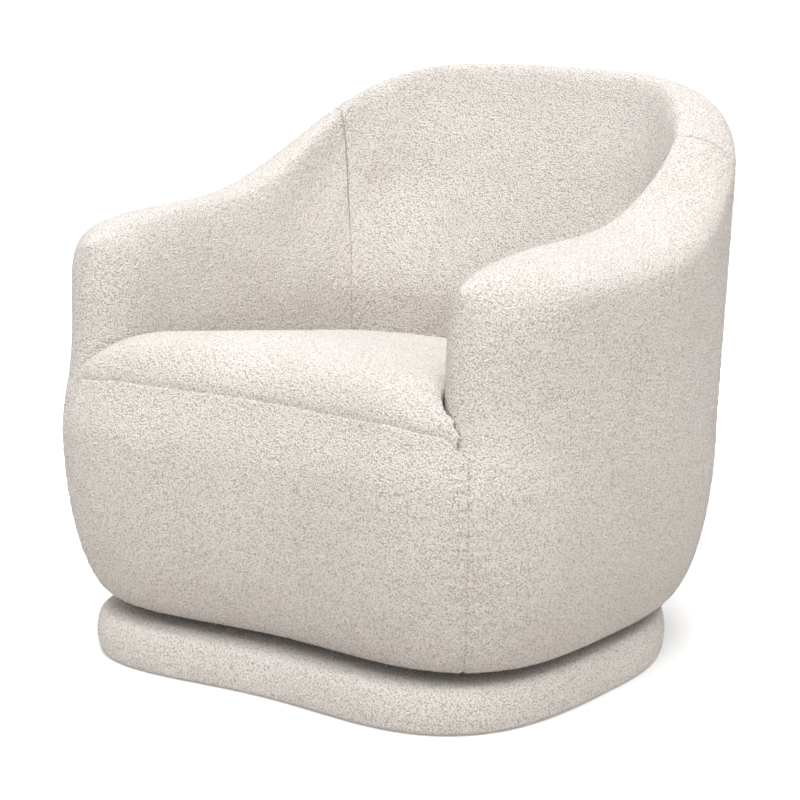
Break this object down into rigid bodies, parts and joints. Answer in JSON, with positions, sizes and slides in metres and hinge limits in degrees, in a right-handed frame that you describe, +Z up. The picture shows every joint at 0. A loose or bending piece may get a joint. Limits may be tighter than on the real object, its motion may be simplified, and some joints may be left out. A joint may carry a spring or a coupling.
{
  "type": "swivel glider chair",
  "caption": "Tub-shaped upholstered armchair in ivory boucle that swivels on a low bean-shaped padded plinth and glides fore and aft on hanging links.",
  "frame": {"origin": "centre of the bounding box's base, on the floor", "axes": "+X towards the sitter's left, +Y towards the back, +Z up; the front faces -Y"},
  "size_m": [0.8, 0.827, 0.7538],
  "materials": {
    "boucle": "ivory looped boucle",
    "foam": "soft padding",
    "plywood": "bare plywood",
    "steel": "black powder coat",
    "zinc": "zinc plated",
    "spring_wire": "oiled spring steel",
    "rubber": "matte black",
    "nylon": "matte black",
    "dust_cloth": "black nonwoven cloth"
  },
  "bodies": {
    "base": {"base_board": "plywood", "base_foam": "foam", "base_cover": "boucle", "swivel_lower_plate": "steel", "swivel_lower_race": "zinc", "floor_glide_1": "nylon", "floor_glide_2": "nylon", "floor_glide_3": "nylon", "floor_glide_4": "nylon"},
    "carriage": {"swivel_upper_race": "zinc", "swivel_upper_plate": "steel", "king_pin": "zinc", "front_cross_bar": "steel", "rear_cross_bar": "steel", "left_bracket": "steel", "right_bracket": "steel", "upper_pivot_front_left": "zinc", "upper_pivot_front_right": "zinc", "upper_pivot_rear_left": "zinc", "upper_pivot_rear_right": "zinc", "bumper_front_left": "rubber", "bumper_front_right": "rubber", "bumper_rear_left": "rubber", "bumper_rear_right": "rubber"},
    "front_links": {"link_front_left": "steel", "link_front_right": "steel"},
    "rear_links": {"link_rear_left": "steel", "link_rear_right": "steel"},
    "chair": {"seat_cover": "boucle", "front_cover": "boucle", "left_arm_cover": "boucle", "right_arm_cover": "boucle", "back_cover": "boucle", "seat_foam": "foam", "front_foam": "foam", "left_side_foam": "foam", "right_side_foam": "foam", "left_arm_foam": "foam", "right_arm_foam": "foam", "back_foam": "foam", "back_low_foam": "foam", "bottom_board": "plywood", "front_wall": "plywood", "left_wall": "plywood", "right_wall": "plywood", "back_wall": "plywood", "left_runner": "plywood", "right_runner": "plywood", "rear_spring_rail": "plywood", "left_rail": "steel", "right_rail": "steel", "lower_pivot_front_left": "zinc", "lower_pivot_front_right": "zinc", "lower_pivot_rear_left": "zinc", "lower_pivot_rear_right": "zinc", "seat_spring_1": "spring_wire", "seat_spring_2": "spring_wire", "seat_spring_3": "spring_wire", "seat_spring_4": "spring_wire", "dust_cover": "dust_cloth"}
  },
  "joints": [
    {"name": "swivel", "type": "hinge", "parent": "base", "child": "carriage", "pos_m": [0, -0.07611, 0], "axis": [0, 0, 1], "continuous": true},
    {"name": "glide", "type": "hinge", "parent": "carriage", "child": "front_links", "pos_m": [0, -0.18611, 0.2015], "axis": [1, 0, 0], "range_deg": [-28, 28]},
    {"name": "body_level", "type": "hinge", "parent": "front_links", "child": "chair", "pos_m": [0, -0.18611, 0.0865], "axis": [1, 0, 0], "range_deg": [-28, 28]},
    {"name": "rear_swing", "type": "hinge", "parent": "carriage", "child": "rear_links", "pos_m": [0, 0.03389, 0.2015], "axis": [1, 0, 0], "range_deg": [-28, 28]}
  ],
  "couplings": [
    {"joint": "body_level", "follows": "glide", "ratio": -1},
    {"joint": "rear_swing", "follows": "glide", "ratio": 1}
  ]
}
